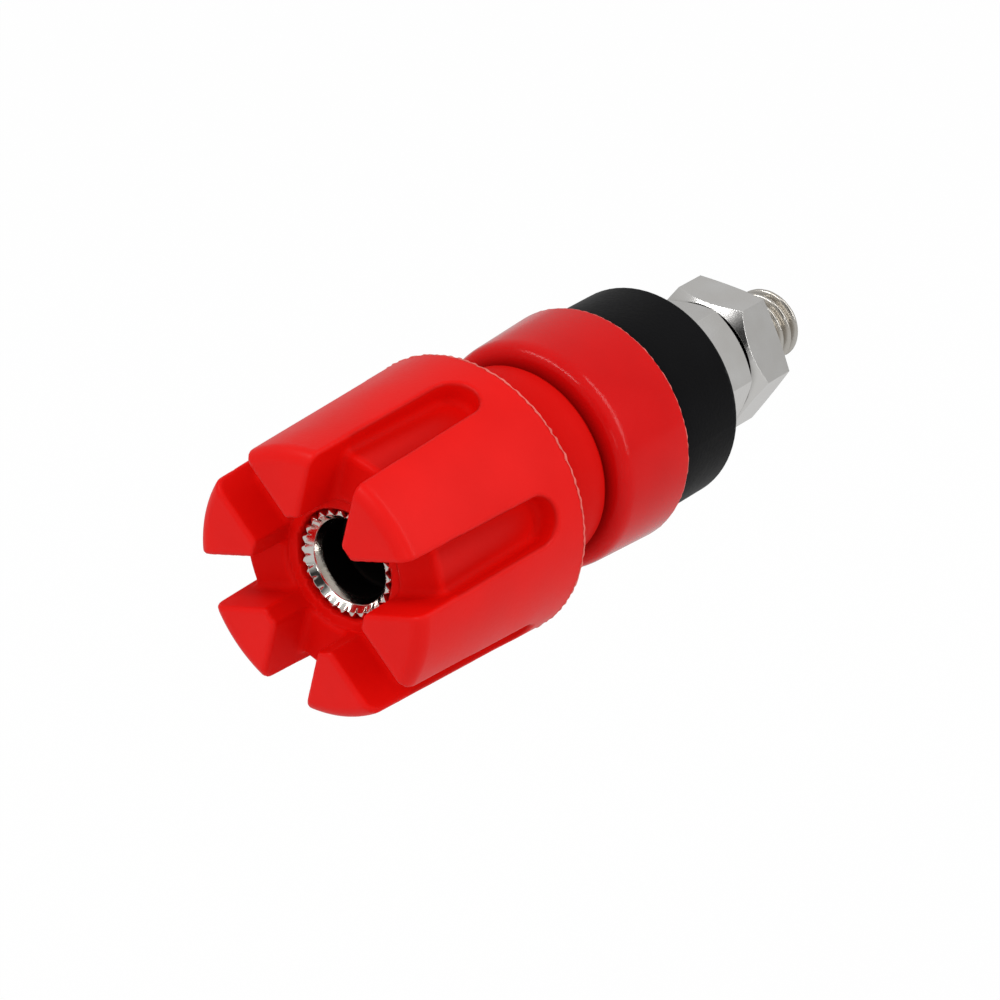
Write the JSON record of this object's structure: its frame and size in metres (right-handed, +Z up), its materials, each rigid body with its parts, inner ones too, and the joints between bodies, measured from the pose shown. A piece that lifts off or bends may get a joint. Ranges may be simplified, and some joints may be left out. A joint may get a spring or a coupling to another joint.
{
  "type": "banana socket",
  "caption": "Panel-mounted banana socket: a lobed screw-down knob with a plug bore, a round collar, a thick insulating washer and hexagon nuts on a threaded tail.",
  "frame": {"origin": "centre of the panel seat, on the rear face of the collar", "axes": "-Y along the post toward the plug, +Y along the threaded tail, +Z up"},
  "size_m": [0.0146, 0.0385, 0.0146],
  "materials": {
    "knob_plastic": "moulded red, satin gloss",
    "collar_plastic": "moulded red, satin gloss",
    "insulator_plastic": "moulded black, matte",
    "bush_metal": "nickel plated",
    "stud_metal": "nickel plated",
    "washer_metal": "nickel plated",
    "nut_metal": "nickel plated, satin"
  },
  "bodies": {
    "post": {"contact_stud": "stud_metal", "collar": "collar_plastic", "rear_insulator": "insulator_plastic", "plain_washer": "washer_metal", "panel_nut": "nut_metal", "terminal_nut": "nut_metal"},
    "bush": {"knob_bush": "bush_metal"},
    "grip": {"knob": "knob_plastic"}
  },
  "joints": [
    {"name": "knob_travel", "type": "slide", "parent": "post", "child": "bush", "axis": [0, -1, 0], "range_m": [0, 0.0045]},
    {"name": "knob_turn", "type": "hinge", "parent": "bush", "child": "grip", "pos_m": [0, 0, 0], "axis": [0, -1, 0], "range_deg": [0, 2160]}
  ],
  "couplings": [
    {"joint": "knob_turn", "follows": "knob_travel", "rad_per_m": 8377.6}
  ]
}
